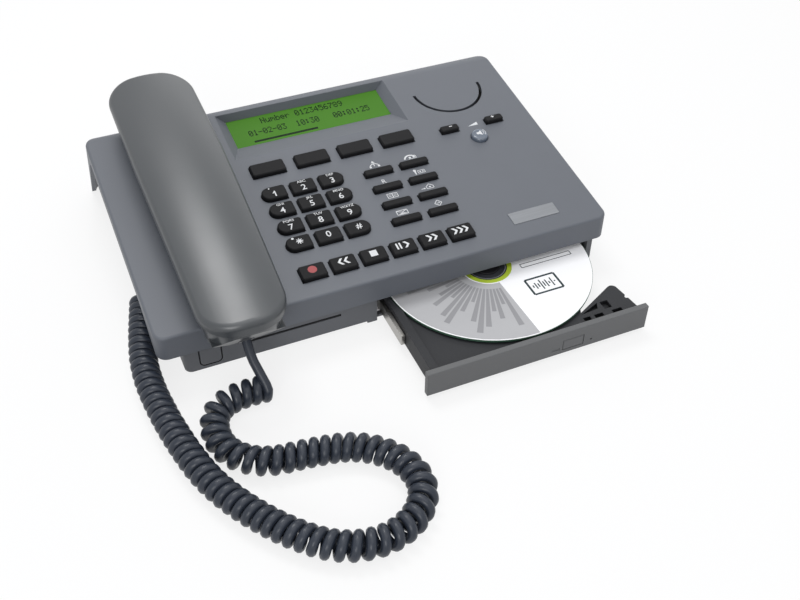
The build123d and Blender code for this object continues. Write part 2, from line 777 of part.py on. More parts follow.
def make_lower_shell():
    """Handset lower shell: grip, ear cap, mouth cap and the lip round the cord socket."""
    depth = rim_height - grip_height
    shell = extrude(handset_plan(lower_inset), -depth, taper=lower_taper)
    ear = Pos(0, ear_well_v, 0) * extrude(Circle(ear_cap_radius), -(rim_height + ear_well_depth - seat_gap))
    mouth = Pos(0, (mouth_cap_rear + 2) / 2) * Rectangle(2 * mouth_cap_half, mouth_cap_rear - 2)
    mouth = extrude(mouth, -(rim_height - seat_gap))
    shell = on_panel(shell + ear + mouth, handset_x, 0, rim_height)
    lip_rear = front_y - lip_gap
    high = Pos(handset_x, lip_rear - 12.0, lip_top_z) * Rectangle(2 * lip_top_half, 24.0)
    low = Pos(handset_x, lip_rear - 5.0, lip_bottom_z) * Rectangle(2 * lip_bottom_half, 10.0)
    shell += loft([low, high], ruled=True)
    shell -= beyond_chin(0)
    hollow = extrude(handset_plan(lower_inset + handset_wall + 1), -(depth - handset_wall), taper=lower_taper)
    ear_depth = rim_height + ear_well_depth - handset_wall
    ear_pocket = Pos(0, ear_well_v) * extrude(Circle(capsule_radius + capsule_gap), -ear_depth)
    voice_pocket = extrude(Circle(microphone_radius + capsule_gap), -(rim_height - handset_wall))
    voice_pocket = Pos(0, microphone_v) * voice_pocket
    hollow = on_panel(hollow + ear_pocket + voice_pocket, handset_x, 0, rim_height)
    shell -= hollow - beyond_chin(handset_wall)
    return shell - plug_body(plug_gap, plug_end_gap)


def make_capsule(radius, v, bottom, height):
    """A sound capsule: a disc with a smaller step on its back."""
    step = bottom + height * 0.7
    collar = panel_rod(handset_x, v, step, bottom + height, radius * 0.6)
    return panel_rod(handset_x, v, bottom, step, radius) + collar


# Curly cord
def plug_body(side_gap, end_gap):
    """The cord's plug in the handset's lip, or with gaps the room round it."""
    plane = Plane(origin=jack, x_dir=(1, 0, 0), z_dir=-lead_dir)
    return extrude(plane * Rectangle(plug_width + 2 * side_gap, plug_height + 2 * side_gap), plug_length + end_gap)


def route_point(t):
    """A smooth line through the route: each bend is a parabola between the middles of two runs."""
    points = [Vector(x, front_y + y, curl_z) for x, y in cord_route]
    spans = len(points) - 2
    t = min(max(t, 0.0), spans - 1e-9)
    i = int(t)
    u = t - i
    a = points[0] if i == 0 else (points[i] + points[i + 1]) * 0.5
    b = points[i + 1]
    c = points[-1] if i == spans - 1 else (points[i + 1] + points[i + 2]) * 0.5
    place = a * (1 - u) ** 2 + b * (2 * u * (1 - u)) + c * u ** 2
    heading = (b - a) * (2 * (1 - u)) + (c - b) * (2 * u)
    bend = (a - b * 2 + c) * 2
    curvature = heading.cross(bend).length / heading.length ** 3
    return place, heading, curvature


def curl_stations():
    """Turns of the helix, counted along the route: wider apart where the route bends."""
    spans = len(cord_route) - 2
    steps = 60 * spans
    angle = [0.0]
    last = None
    smooth = [route_point(spans * k / steps)[2] for k in range(steps + 1)]
    window = 45
    for k in range(steps + 1):
        place = route_point(spans * k / steps)[0]
        near = smooth[max(0, k - window): k + window + 1]
        curvature = sum(near) / len(near)
        if last is not None:
            pitch = (wire + curl_gap) / (1 - curl_radius * curvature)
            angle.append(angle[-1] + (place - last).length / pitch)
        last = place
    return angle, spans, steps


def helix_place(turn, stations):
    """Place and direction of the wire after a number of turns."""
    angle, spans, steps = stations
    low, high = 0, steps
    while high - low > 1:
        middle = (low + high) // 2
        if angle[middle] <= turn:
            low = middle
        else:
            high = middle
    part = (turn - angle[low]) / (angle[high] - angle[low])
    place, heading, curvature = route_point(spans * (low + part) / steps)
    ahead = heading.normalized()
    side = Vector(0, 0, 1).cross(ahead)
    phi = 2 * math.pi * turn - math.radians(90 - lead_tilt)
    return place + side * (curl_radius * math.cos(phi)) - Vector(0, 0, curl_radius * math.sin(phi))


def helix_direction(turn, stations):
    """Direction of the wire, from two places close to each other."""
    step = 1e-3
    return (helix_place(turn + step, stations) - helix_place(turn - step, stations)).normalized()


def biarc(p0, t0, p1, t1):
    """Two arcs that join two places with given directions."""
    chord = p1 - p0
    both = chord.dot(t0 + t1)
    spread = 1 - t0.dot(t1)
    if spread < 1e-9:
        reach = chord.dot(chord) / (2 * both)
    else:
        reach = (math.sqrt(both * both + 2 * spread * chord.dot(chord)) - both) / (2 * spread)
    joint = (p0 + t0 * reach + p1 - t1 * reach) * 0.5
    first = TangentArc(p0, joint, tangent=t0)
    return [first, TangentArc(joint, p1, tangent=first % 1)]


def cord_path():
    """The wire's whole path: lead from the handset, curls, lead to the base."""
    stations = curl_stations()
    end_part = (end_turn_angle + 90 - lead_tilt) / 360
    turns = math.floor(stations[0][-1] - end_part) + end_part
    counts = [0.5 * k for k in range(int(2 * turns) + 1)] + [turns]
    places = [helix_place(count, stations) for count in counts]
    headings = [helix_direction(count, stations) for count in counts]
    first = jack + lead_dir * wire
    edges = [Line(jack, first)]
    edges += biarc(first, lead_dir, places[0], headings[0])
    for k in range(len(places) - 1):
        edges += biarc(places[k], headings[k], places[k + 1], headings[k + 1])
    plug_face = Vector(base_left - plug_proud, plug_y, plug_z)
    last = plug_face - Vector(wire, 0, 0)
    edges += biarc(places[-1], headings[-1], last, Vector(1, 0, 0))
    edges.append(Line(last, plug_face))
    return edges


def end_faces(piece, edge):
    """The two ends of a swept piece: at the start and at the end of its path."""
    ends = []
    for place in (edge @ 0, edge @ 1):
        ends.append(sorted(piece.faces(), key=lambda face: (face.center() - place).length)[0])
    return ends


def make_cord():
    """The curly cord as one tube: each arc swept from the end face of the one before."""
    edges = cord_path()
    face = (Plane(origin=edges[0] @ 0, z_dir=edges[0] % 0) * RegularPolygon(wire / 2, wire_sides)).face()
    skin = [face]
    for edge in edges:
        piece = sweep(face, path=edge)
        start, end = end_faces(piece, edge)
        skin += [side for side in piece.faces() if not side.is_same(start) and not side.is_same(end)]
        face = end
    cord = Solid(Shell(skin + [face]))
    return cord


def make_base_plug():
    """The cord's plug in the left wall of the base."""
    x0 = base_left - plug_proud
    return block(x0, x0 + plug_length, plug_y - plug_width / 2, plug_y + plug_width / 2, plug_z - plug_height / 2,
                 plug_z + plug_height / 2)


# Disc drive
def make_frame():
    """The drive's sheet-metal case, open at the front where the tray runs out."""
    case = block(frame_left, frame_right, frame_front_y, frame_rear_y, frame_bottom_z, frame_top_z)
    inside = block(frame_left + drive_wall, frame_right - drive_wall, frame_front_y - 1, frame_rear_y - drive_wall,
                   frame_bottom_z + drive_wall, frame_top_z - drive_wall)
    return case - inside


def make_tray():
    """Disc tray: deck with a rim, an ear at its right front, pockets for motor and pickup."""
    rear = tray_front_y + tray_length
    ear_tip = (tray_ear_x, tray_front_y + tray_ear_depth)
    points = [
        (tray_left, tray_front_y),
        (tray_right, tray_front_y),
        ear_tip,
        (tray_notch_x, tray_front_y + tray_notch_depth),
        (tray_back_right, tray_front_y + tray_shoulder_depth),
        (tray_back_right, rear),
        (tray_left, rear),
    ]
    outline = make_face(Polyline(*points, close=True))
    tip = outline.vertices().sort_by_distance(ear_tip + (0,))[0]
    outline = fillet(tip, tray_ear_radius)
    tray = Pos(0, 0, tray_bottom_z) * extrude(outline, deck_z - tray_bottom_z)
    tray += block(tray_left, tray_left + tray_rim_width, tray_front_y, rear, deck_z - 1, tray_rim_z)
    tray -= rod(disc_x, disc_y, deck_z, tray_rim_z + 1, disc_radius + disc_recess_gap)
    tray -= rod(disc_x, disc_y, tray_pocket_floor_z, tray_rim_z, motor_radius + motor_gap)
    sled_y = disc_y - sled_from_spindle
    half_width = sled_width / 2 + run_gap
    half_length = sled_length / 2 + sled_travel + run_gap
    tray -= block(disc_x - half_width, disc_x + half_width, sled_y - half_length, sled_y + half_length,
                  tray_pocket_floor_z, tray_rim_z)
    floor = deck_z - tray_relief_depth
    for x0, x1, near, far in tray_reliefs:
        tray -= block(x0, x1, tray_front_y + near, tray_front_y + far, floor, tray_rim_z)
    web = make_face(Polyline(*[(x, tray_front_y + depth) for x, depth in tray_web], close=True))
    tray -= Pos(0, 0, floor) * extrude(web, tray_rim_z - floor)
    notch_x = (tray_right + tray_ear_x) / 2
    return tray - rod(notch_x, tray_front_y + tray_ear_depth / 2, floor, tray_rim_z, tray_relief_notch)


def make_motor():
    """Spindle motor in its pocket, bored for the hub's shaft."""
    motor = rod(disc_x, disc_y, tray_pocket_floor_z, deck_z, motor_radius)
    depth = hub_shaft_length + run_gap
    return motor - rod(disc_x, disc_y, deck_z - depth, deck_z + 1, hub_shaft_radius + run_gap)


def make_hub():
    """Hub: flange under the disc, boss through it and shaft into the motor."""
    flange_bottom = disc_bottom_z - hub_flange_thickness
    hub = rod(disc_x, disc_y, flange_bottom, disc_bottom_z, hub_flange_radius)
    hub += rod(disc_x, disc_y, disc_bottom_z, hub_top_z, hub_radius)
    return hub + rod(disc_x, disc_y, deck_z - hub_shaft_length, flange_bottom, hub_shaft_radius)


def make_disc():
    """Optical disc on the hub."""
    disc = rod(disc_x, disc_y, disc_bottom_z, disc_bottom_z + disc_thickness, disc_radius)
    return disc - rod(disc_x, disc_y, disc_bottom_z - 1, disc_bottom_z + disc_thickness + 1, disc_hole_radius)


def make_rail():
    """Metal slide rail between the drive's case and the tray."""
    x0 = tray_left - rail_gap - rail_width
    y0 = tray_front_y + rail_from_bezel
    rail = block(x0, x0 + rail_width, y0, y0 + rail_length, rail_bottom_z, rail_bottom_z + rail_height)
    front = rail.faces().sort_by(Axis.Y)[0].edges().filter_by(Axis.X)
    return chamfer(front, rail_nose)


def make_sled():
    """Pickup sled with its lens, in the slot of the tray."""
    sled_y = disc_y - sled_from_spindle
    top = deck_z - run_gap
    sled = block(disc_x - sled_width / 2, disc_x + sled_width / 2, sled_y - sled_length / 2, sled_y + sled_length / 2,
                 tray_pocket_floor_z + run_gap, top)
    return sled + rod(disc_x, disc_y - sled_from_spindle, top - 1, deck_z + run_gap, lens_radius)


def bezel_slab(x, z, width, height, y0, y1):
    """A block on the bezel's front, given by its middle and its size."""
    return block(x - width / 2, x + width / 2, y0, y1, z - height / 2, z + height / 2)


def make_bezel():
    """Tray's front plate: openings for the eject button, the lamp and the release pin."""
    bezel = block(bezel_left, bezel_left + bezel_width, bezel_front_y, tray_front_y, bezel_bottom_z, bezel_top_z)
    bezel = chamfer(bezel.faces().sort_by(Axis.Y)[0].edges(), bezel_bevel)
    bezel -= bezel_slab(eject_x, eject_z, eject_width + 2 * eject_gap, eject_height + 2 * eject_gap,
                        bezel_front_y - 1, tray_front_y + 1)
    bezel -= bezel_slab(lamp_x, lamp_z, lamp_width, lamp_height, bezel_front_y - 1, bezel_front_y + lamp_recess)
    pinhole = Pos(pinhole_x, tray_front_y, pinhole_z) * Rot(90, 0, 0) * Cylinder(pinhole_radius, 3 * bezel_thickness)
    return bezel - pinhole


def make_eject_button():
    """Eject button in the bezel, a little proud of it."""
    button = bezel_slab(eject_x, eject_z, eject_width, eject_height, bezel_front_y - eject_proud,
                        bezel_front_y - eject_proud + eject_thickness)
    return chamfer(button.faces().sort_by(Axis.Y)[0].edges(), bezel_bevel)


# Every node, with its own file
def make_nodes():
    """All pieces by name."""
    nodes = {
        "top_cover": make_cover(),
        "base_housing": make_base(),
        "display_panel": make_display(),
        "badge_plate": make_badge(),
        "loudspeaker": make_loudspeaker(),
        "main_board": make_board(),
        "drive_frame": make_frame(),
        "housing_screws": make_screws(),
        "rubber_feet": make_feet(),
        "rear_sockets": make_sockets(),
        "port_flap": make_flap(),
        "hook_plunger": make_plunger(),
        "handset_upper_shell": make_upper_shell(),
        "handset_lower_shell": make_lower_shell(),
        "handset_earpiece": make_capsule(capsule_radius, ear_well_v, handset_wall - ear_well_depth, capsule_height),
        "handset_microphone": make_capsule(microphone_radius, microphone_v, handset_wall, microphone_height),
        "handset_cord_plug": plug_body(0, 0),
        "handset_cord": make_cord(),
        "base_cord_plug": make_base_plug(),
        "drive_tray": make_tray(),
        "drive_bezel": make_bezel(),
        "eject_button": make_eject_button(),
        "spindle_motor": make_motor(),
        "spindle_hub": make_hub(),
        "optical_disc": make_disc(),
        "pickup_sled": make_sled(),
        "tray_rail": make_rail(),
        "speaker_key": speaker_key(),
    }
    for name, *places in key_list():
        nodes[name] = key_cap(*places)
    return nodes


os.makedirs("parts", exist_ok=True)
for name, piece in make_nodes().items():
    export_step(piece, f"parts/{name}.step")
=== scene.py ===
import bmesh
import bpy
import math
from mathutils import Matrix, Vector
import numpy as np


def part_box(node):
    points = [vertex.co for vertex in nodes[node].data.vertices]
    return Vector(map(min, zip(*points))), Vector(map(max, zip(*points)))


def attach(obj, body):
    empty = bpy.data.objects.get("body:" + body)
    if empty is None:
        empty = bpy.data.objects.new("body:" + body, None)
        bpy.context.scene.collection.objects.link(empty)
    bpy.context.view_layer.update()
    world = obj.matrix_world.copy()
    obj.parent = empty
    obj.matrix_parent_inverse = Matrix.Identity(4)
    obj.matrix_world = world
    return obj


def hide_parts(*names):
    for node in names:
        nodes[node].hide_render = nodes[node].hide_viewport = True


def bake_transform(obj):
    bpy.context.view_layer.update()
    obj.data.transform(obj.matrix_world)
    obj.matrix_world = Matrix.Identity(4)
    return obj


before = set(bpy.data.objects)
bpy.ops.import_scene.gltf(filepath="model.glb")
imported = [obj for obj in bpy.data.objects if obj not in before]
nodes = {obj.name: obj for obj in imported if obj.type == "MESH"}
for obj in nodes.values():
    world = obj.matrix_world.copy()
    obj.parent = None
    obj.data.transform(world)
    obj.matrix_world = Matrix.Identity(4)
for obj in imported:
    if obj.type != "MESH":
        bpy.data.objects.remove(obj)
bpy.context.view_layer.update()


# Studio
# A white sweep under a large soft box from above, a smaller lamp above the back that the handset mirrors, and
# faint lights from the front and from low behind. The camera stands in front, to the left and above.
table_reach = 8
table_glow = 0.80
room_grey = (0.40, 0.41, 0.43, 1)
backdrop_white = (1, 1, 1, 1)
camera_place = (-0.17075, -0.48360, 0.40208)
camera_right = Vector((0.91609, -0.40076, 0.01170))
camera_up = Vector((0.26309, 0.62291, 0.73675))


def soft_light(name, place, target, width, height, power):
    """A rectangular lamp that faces a target."""
    lamp = bpy.data.lights.new(name, "AREA")
    lamp.shape = "RECTANGLE"
    lamp.size = width
    lamp.size_y = height
    lamp.energy = power
    holder = bpy.data.objects.new(name, lamp)
    holder.location = place
    holder.rotation_mode = "QUATERNION"
    holder.rotation_quaternion = (Vector(target) - Vector(place)).to_track_quat("-Z", "Y")
    bpy.context.collection.objects.link(holder)


def connect(step, inputs):
    """Links each input of a shader step to another step's output, or sets it where it is a plain value."""
    for name, value in inputs.items():
        if isinstance(value, bpy.types.NodeSocket):
            step.id_data.links.new(value, step.inputs[name])
        else:
            step.inputs[name].default_value = value


def shade_step(tree, kind, output, inputs=None, **settings):
    """Adds one shader step with its settings and inputs, and returns one of its outputs."""
    step = tree.nodes.new(kind)
    for name, value in settings.items():
        setattr(step, name, value)
    connect(step, inputs or {})
    return step.outputs[output]


def new_material(name):
    """A material, its shader tree and its surface shader."""
    material = bpy.data.materials.new(name)
    material.use_nodes = True
    return material, material.node_tree, material.node_tree.nodes["Principled BSDF"]


def seen_or_mirrored(tree):
    """1 where the camera sees a surface, directly or in a gloss, and 0 where it only lights the others."""
    direct = shade_step(tree, "ShaderNodeLightPath", "Is Camera Ray")
    return shade_step(tree, "ShaderNodeMath", "Value",
                      {0: direct, 1: direct.node.outputs["Is Glossy Ray"]}, operation="MAXIMUM")


scene = bpy.context.scene
scene.view_settings.view_transform = "Standard"
soft_light("top_box", (0.20, -0.30, 1.50), (0, 0, 0), width=1.6, height=1.6, power=9)
soft_light("handset_light", (-0.08, 0.40, 1.15), (-0.09, -0.10, 0.06), width=0.48, height=0.38, power=5.4)
soft_light("front_light", (-0.9, -1.5, 0.9), (0, 0, 0.03), width=0.9, height=0.7, power=11)
soft_light("rear_light", (0.60, 1.10, 0.62), (0, 0.05, 0.05), width=1.2, height=0.5, power=2)

world = bpy.data.worlds.new("studio")
world.use_nodes = True
scene.world = world
surround = shade_step(world.node_tree, "ShaderNodeMix", "Result", {
    "Factor": seen_or_mirrored(world.node_tree), "A": room_grey, "B": backdrop_white}, data_type="RGBA")
connect(world.node_tree.nodes["Background"], {"Color": surround})

sweep = bpy.data.meshes.new("table")
sweep.from_pydata([(-table_reach, -table_reach, 0), (table_reach, -table_reach, 0),
                   (table_reach, table_reach, 0), (-table_reach, table_reach, 0)], [], [(0, 1, 2, 3)])
table = bpy.data.objects.new("table", sweep)
bpy.context.collection.objects.link(table)
table_white, tree, shader = new_material("table_white")
connect(shader, {"Base Color": (0.86, 0.86, 0.86, 1), "Roughness": 0.9, "Specular IOR Level": 0.1})
glow = shade_step(tree, "ShaderNodeEmission", "Emission", {"Color": backdrop_white})
glow_share = shade_step(tree, "ShaderNodeMath", "Value", {0: seen_or_mirrored(tree), 1: table_glow},
                        operation="MULTIPLY")
lit_table = shade_step(tree, "ShaderNodeMixShader", "Shader",
                       {"Fac": glow_share, 1: shader.outputs["BSDF"], 2: glow})
connect(tree.nodes["Material Output"], {"Surface": lit_table})
table.data.materials.append(table_white)

lens = bpy.data.cameras.new("camera")
lens.sensor_width = 36
lens.lens = 47.19
lens.shift_x = -0.0036
lens.shift_y = 0.00125
lens.clip_start = 0.05
camera = bpy.data.objects.new("camera", lens)
camera_axes = Matrix((camera_right, camera_up, camera_right.cross(camera_up))).transposed()
camera.matrix_world = Matrix.Translation(camera_place) @ camera_axes.to_4x4()
bpy.context.collection.objects.link(camera)
scene.camera = camera


# Curly cord
# A dark vinyl wire wound into an even coil, which lies on the table in an S from the mouth end of the handset
# round to the socket in the left wall of the base. Its first run hangs straight out of the handset.
front_y = -0.09725
# Millimetres across, and towards the back from the cover's front edge. The cord's other sizes are in metres.
route_points = [
    (-84.0, -27.4), (-97.5, -25.9), (-112.0, -31.0), (-117.5, -45.5), (-114.5, -61.5), (-100.0, -73.5),
    (-78.0, -75.5), (-55.5, -80.0), (-39.0, -95.5), (-35.0, -114.5), (-45.5, -130.0), (-64.0, -136.5),
    (-84.0, -132.0), (-100.5, -117.5), (-116.0, -96.5), (-127.5, -73.5), (-133.5, -48.0), (-137.5, -20.0),
    (-138.7, 8.0), (-134.3, 34.0), (-126.8, 62.0),
]
curl_height = 0.0075
curl_radius = 0.00495
curl_pitch = 0.0053
wire = 0.00505
points_per_turn = 14
first_phase = -math.radians(48)
part_turn = 0.48
bend_window = 30
exit_fall = math.radians(42)
exit_point = Vector((-0.0882, front_y - 0.0116, 0.0286))
exit_way = Vector((0, -math.cos(exit_fall), -math.sin(exit_fall)))
exit_runs = (0, 0.004, 0.010)
plug_point = Vector((-0.1187, front_y + 0.0614, 0.0072))
plug_run = Vector((0.0045, 0, 0))


def smooth_line(name, points, resolution):
    """A curve of one smooth open line with these control points."""
    curve = bpy.data.curves.new(name, "CURVE")
    curve.dimensions = "3D"
    curve.resolution_u = resolution
    line = curve.splines.new("NURBS")
    line.points.add(len(points) - 1)
    for point, place in zip(line.points, points):
        point.co = (*place, 1)
    line.order_u = 3
    line.use_endpoint_u = True
    return bpy.data.objects.new(name, curve)


def tinted(colour, strength):
    """A colour made lighter or darker, with an alpha of 1."""
    return [min(1, c * strength) for c in colour] + [1]


def softened(tree, height, depth, distance, edge):
    """Normals with gently rounded edges: the first without and the second with fine relief."""
    rounded = shade_step(tree, "ShaderNodeBevel", "Normal", {"Radius": edge}, samples=4)
    relief = shade_step(tree, "ShaderNodeBump", "Normal", {
        "Strength": depth, "Distance": distance, "Height": height, "Normal": rounded})
    return rounded, relief


def spread(tree, value, low, high):
    """Spreads a value from 0 to 1 over a range."""
    return shade_step(tree, "ShaderNodeMapRange", "Result", {"Value": value, "To Min": low, "To Max": high})


def plastic(name, colour, roughness, grain=2600, depth=0.05, mottle=0.03, edge=0.0003, specular=0.5,
            sheen=0.0, crease_shade=0.0):
    """Moulded plastic or rubber: fine grain, clouds of colour and gloss, and rounded edges lightened as a
    painted highlight.

    The last argument paints shade into grooves and creases, darker where the surface is closed in.
    """
    material, tree, shader = new_material(name)
    place = shade_step(tree, "ShaderNodeTexCoord", "Object")
    clouds = shade_step(tree, "ShaderNodeTexNoise", "Fac", {
        "Vector": place, "Scale": 35, "Detail": 8, "Roughness": 0.7})
    grains = shade_step(tree, "ShaderNodeTexNoise", "Fac", {"Vector": place, "Scale": grain, "Detail": 2})
    rounded, relief = softened(tree, grains, depth, 0.0002, edge)
    tone = shade_step(tree, "ShaderNodeMix", "Result", {
        "Factor": clouds, "A": tinted(colour, 1 - mottle), "B": tinted(colour, 1 + mottle)}, data_type="RGBA")
    flat = shade_step(tree, "ShaderNodeNewGeometry", "Normal")
    turn = shade_step(tree, "ShaderNodeVectorMath", "Value", {0: rounded, 1: flat}, operation="DOT_PRODUCT")
    # Painted highlight: the colour is lightened towards the rounded edges.
    edge_highlight = shade_step(tree, "ShaderNodeMapRange", "Result", {
        "Value": turn, "From Min": 0.98, "From Max": 0.75, "To Max": 0.25})
    skin = shade_step(tree, "ShaderNodeMix", "Result", {
        "Factor": edge_highlight, "A": tone, "B": tinted(colour, 1.7)}, data_type="RGBA")
    # Painted shade: the colour is darkened in grooves and creases by ambient occlusion.
    if crease_shade:
        openness = shade_step(tree, "ShaderNodeAmbientOcclusion", "AO", {"Distance": 0.005},
                              samples=8, only_local=True)
        crease_shading = shade_step(tree, "ShaderNodeMapRange", "Result", {
            "Value": openness, "From Min": 0.25, "From Max": 0.75, "To Min": 1 - crease_shade})
        skin = shade_step(tree, "ShaderNodeVectorMath", "Vector", {"Vector": skin, "Scale": crease_shading},
                          operation="SCALE")
    connect(shader, {
        "Base Color": skin, "Roughness": spread(tree, clouds, roughness - 0.05, roughness + 0.05),
        "Normal": relief, "Specular IOR Level": specular, "Sheen Weight": sheen})
    return material


def paint(material, *names):
    """Gives CAD nodes a material."""
    for name in names:
        nodes[name].data.materials.clear()
        nodes[name].data.materials.append(material)


# The route is measured, and the turns are counted along it so that they touch on the inside of each bend.
guide = smooth_line("cord_route", [(x / 1000, front_y + y / 1000, curl_height) for x, y in route_points], 40)
track = np.array([v.co for v in bpy.data.meshes.new_from_object(guide).vertices])
bpy.data.objects.remove(guide)
stride = np.linalg.norm(np.diff(track, axis=0), axis=1)
ahead = np.diff(track, axis=0) / stride[:, None]
bend = np.zeros(len(stride))
bend[1:] = np.linalg.norm(np.diff(ahead, axis=0), axis=1) / stride[1:]
window = np.ones(2 * bend_window + 1) / (2 * bend_window + 1)
bend = np.convolve(np.pad(bend, bend_window, mode="edge"), window, mode="valid")
turns = np.concatenate([[0], np.cumsum(stride * (1 - curl_radius * bend) / curl_pitch)])
last_turn = math.floor(turns[-1] - part_turn) + part_turn
count = np.append(np.arange(0, last_turn, 1 / points_per_turn), last_turn)
middle = np.array([np.interp(count, turns, track[:, k]) for k in range(3)]).T
way = np.array([np.interp(count, turns[1:], ahead[:, k]) for k in range(3)]).T
phase = 2 * np.pi * count + first_phase
# A smooth line runs inside its control points, so these stand a little further out than the curl's radius.
reach = curl_radius / (0.75 + 0.25 * math.cos(2 * math.pi / points_per_turn))
coil = middle + reach * np.cos(phase)[:, None] * np.stack([-way[:, 1], way[:, 0], 0 * count], axis=1)
coil[:, 2] -= reach * np.sin(phase)

wire_points = [exit_point + exit_way * run for run in exit_runs]
wire_points += [Vector(p) for p in coil]
wire_points += [plug_point - plug_run, plug_point]
strand = smooth_line("curly_cord", wire_points, 2)
centreline = [tuple(v.co) for v in bpy.data.meshes.new_from_object(strand).vertices]
strand.data.bevel_depth = wire / 2
strand.data.bevel_resolution = 3
tube = bpy.data.meshes.new_from_object(strand)
tube.shade_smooth()
bpy.data.objects.remove(strand)
cord = bpy.data.objects.new("curly_cord", tube)
bpy.context.collection.objects.link(cord)
vinyl = plastic("cord_vinyl", (0.024, 0.030, 0.043), 0.34, grain=1500, depth=0.03, mottle=0.12, specular=0.35)
tube.materials.clear()
tube.materials.append(vinyl)
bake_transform(cord)
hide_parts("handset_cord")
paint(plastic("plug_plastic", (0.045, 0.048, 0.055), 0.3, mottle=0.05), "handset_cord_plug", "base_cord_plug")


# Housing
# A one-piece cover of bluish grey plastic over a slightly darker base, both moulded with a fine spark-eroded
# grain. Both are the CAD parts; rubber feet, screws and the row of sockets at the back belong to them.
# Both get painted shade in their grooves and seams.
housing_grey = plastic("housing_plastic", (0.103, 0.112, 0.130), 0.50, depth=0.10, mottle=0.07, crease_shade=0.6)
base_grey = plastic("base_plastic", (0.104, 0.109, 0.120), 0.55, depth=0.10, mottle=0.07, crease_shade=0.8)
paint(housing_grey, "top_cover")
paint(base_grey, "base_housing", "port_flap", "hook_plunger")
foot_rubber = plastic("foot_rubber", (0.012, 0.012, 0.013), 0.8, depth=0.2, specular=0.2)
paint(foot_rubber, "rubber_feet")
paint(plastic("socket_plastic", (0.02, 0.02, 0.022), 0.4), "rear_sockets")


# Rubber seal and slot shade
# A thin black rubber cord pressed round the two sides and the foot of the port flap's opening, half sunk in
# the base: the door's rubber edge, which also stands in for painted shade in the gap round the flap. A
# thicker black cord fills the card slot as painted shade inside it. Both are plain extruded cords.
base_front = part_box("port_flap")[0][1]
seal_gap = 0.00050
seal_thickness = 0.00050
seal_inset = 0.00010
seal_corner = 0.0024 + seal_gap
seal_top = 0.0150
seal_foot = 0.0040 - seal_gap
flap_middle = -0.1044
seal_half_width = 0.0056 + seal_gap
quarter = [math.radians(degrees) for degrees in range(0, 91, 15)]
seal_path = [(flap_middle - seal_half_width, seal_top)]
seal_path += [(flap_middle - seal_half_width + seal_corner * (1 - math.cos(a)),
               seal_foot + seal_corner * (1 - math.sin(a))) for a in quarter]
seal_path += [(2 * flap_middle - x, z) for x, z in reversed(seal_path)]
slot_shade_thickness = 0.00156
slot_shade_inset = 0.0006
slot_shade_height = 0.0118
slot_shade_path = [(-0.0862, slot_shade_height), (-0.0322, slot_shade_height)]


def rubber_trim(name, path, thickness, inset):
    """A round rubber cord along a path of x and z, its middle a little behind the base's front face."""
    curve = bpy.data.curves.new(name, "CURVE")
    curve.dimensions = "3D"
    curve.bevel_depth = thickness / 2
    curve.bevel_resolution = 3
    curve.use_fill_caps = True
    line = curve.splines.new("POLY")
    line.points.add(len(path) - 1)
    for point, (x, z) in zip(line.points, path):
        point.co = (x, base_front + inset, z, 1)
    holder = bpy.data.objects.new(name, curve)
    trim = bpy.data.objects.new(name, bpy.data.meshes.new_from_object(holder))
    bpy.data.objects.remove(holder)
    bpy.context.collection.objects.link(trim)
    trim.data.materials.append(foot_rubber)
    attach(trim, "root")


# The flap's rubber edge, dark also as painted shade in the gap round the flap.
rubber_trim("flap_seal", seal_path, seal_thickness, seal_inset)
# Painted shade: a black cord filling the card slot, where the slot is in shade.
rubber_trim("card_slot_shade", slot_shade_path, slot_shade_thickness, slot_shade_inset)


# Bright metal
# Screws, the drive's folded sheet-metal case and telescopic rail, and the turned motor: brushed or turned
# steel with fine scratches along one direction.
def metal(name, colour, roughness, stretch, metallic=1.0):
    """Brushed or rolled metal: scratches drawn out along one axis."""
    material, tree, shader = new_material(name)
    place = shade_step(tree, "ShaderNodeTexCoord", "Object")
    drawn = shade_step(tree, "ShaderNodeMapping", "Vector", {"Vector": place, "Scale": stretch})
    scratches = shade_step(tree, "ShaderNodeTexNoise", "Fac", {"Vector": drawn, "Scale": 900, "Detail": 4})
    relief = softened(tree, scratches, 0.08, 0.0001, 0.0002)[1]
    tone = shade_step(tree, "ShaderNodeMix", "Result", {
        "Factor": scratches, "A": tinted(colour, 0.85), "B": tinted(colour, 1.15)}, data_type="RGBA")
    connect(shader, {
        "Base Color": tone, "Roughness": spread(tree, scratches, roughness - 0.08, roughness + 0.08),
        "Normal": relief, "Metallic": metallic})
    return material


paint(metal("sheet_steel", (0.55, 0.55, 0.56), 0.35, (1, 0.05, 1)), "drive_frame", "spindle_motor")
paint(metal("zinc_steel", (0.6, 0.6, 0.62), 0.3, (1, 1, 0.2)), "housing_screws")
paint(metal("rail_steel", (0.39, 0.38, 0.36), 0.30, (1, 0.04, 1)), "tray_rail")


# Display
# A green backlit liquid crystal module behind the cover's window, with two lines of dark dot-matrix signs and
# a bar under them. Number and times are plain counting figures. The ink is a thin film on the module's glass.
panel_front = (0, front_y, 0.0339)
panel_slope = math.radians(7.33)
panel = Matrix.Translation(panel_front) @ Matrix.Rotation(panel_slope, 4, "X")
size_of_capital = 1.42
ink_thickness = 0.00001


def lettering(text, height, x, v, lift, stretch=1.0, bold=0.0):
    """Letters on the sloping panel: middle at x across, v up the slope and lifted off it, in millimetres."""
    curve = bpy.data.curves.new("lettering", "FONT")
    curve.body = text
    curve.size = height * size_of_capital / 1000
    curve.align_x = "CENTER"
    curve.extrude = ink_thickness
    curve.offset = bold / 1000
    curve.resolution_u = 3
    holder = bpy.data.objects.new("lettering", curve)
    mesh = bpy.data.meshes.new_from_object(holder)
    bpy.data.objects.remove(holder)
    spot = Matrix.Translation((x / 1000, (v - height / 2) / 1000, lift / 1000))
    mesh.transform(panel @ spot @ Matrix.Diagonal((stretch, 1, 1, 1)))
    return mesh


